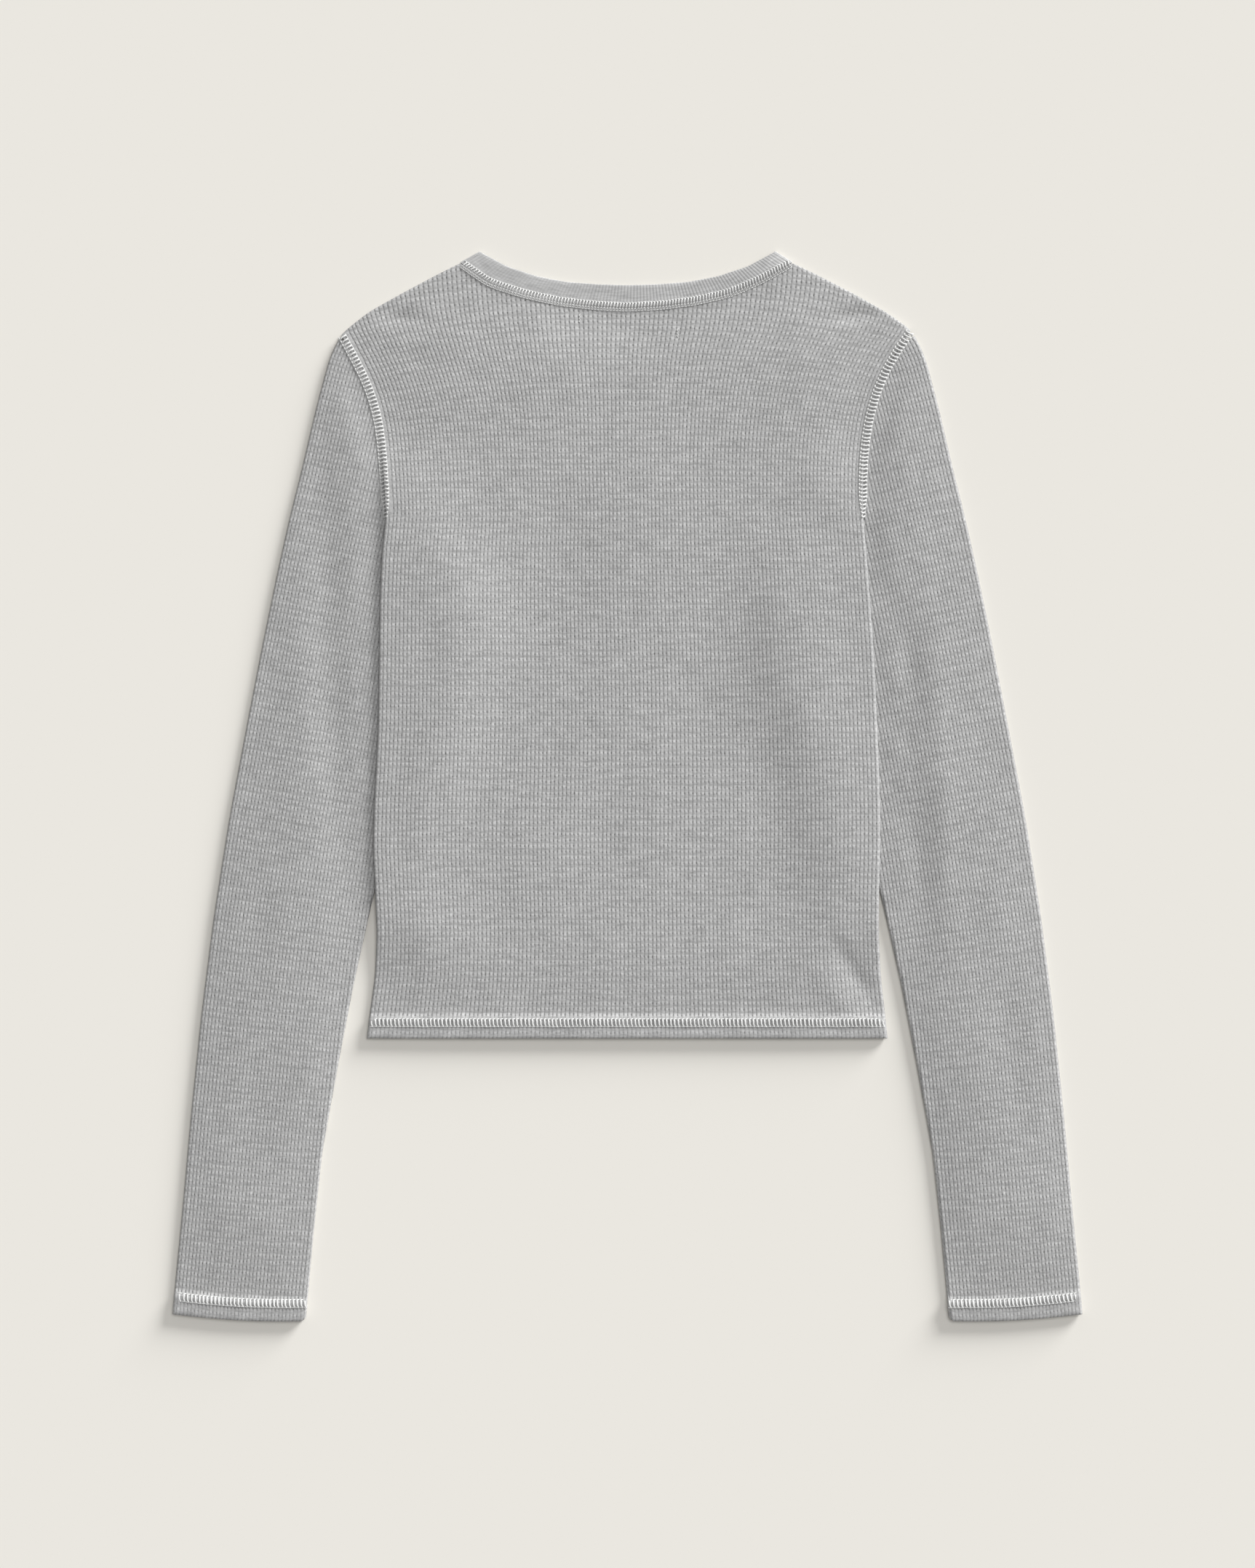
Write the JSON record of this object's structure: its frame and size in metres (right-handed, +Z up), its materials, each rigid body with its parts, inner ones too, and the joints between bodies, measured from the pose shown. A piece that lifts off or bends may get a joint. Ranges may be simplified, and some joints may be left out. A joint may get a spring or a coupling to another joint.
{
  "type": "thermal top",
  "caption": "Cropped long-sleeved thermal top in grey marl waffle knit with pale flatlock seams, laid flat on its front with the back upwards.",
  "frame": {"origin": "on the surface the top lies on, at the middle of its overall length and width", "axes": "+X across the top towards the wearer's right sleeve, +Y along it from the cuffs towards the neck, +Z up out of the back"},
  "size_m": [0.5686, 0.6686, 0.0092],
  "materials": {
    "waffle_knit": "matt grey marl waffle knit with pale seam thread",
    "neck_rib": "matt grey marl fine rib"
  },
  "bodies": {
    "root": {"front_panel": "waffle_knit", "back_panel": "waffle_knit", "left_sleeve": "waffle_knit", "right_sleeve": "waffle_knit", "neckband": "neck_rib"}
  },
  "joints": []
}
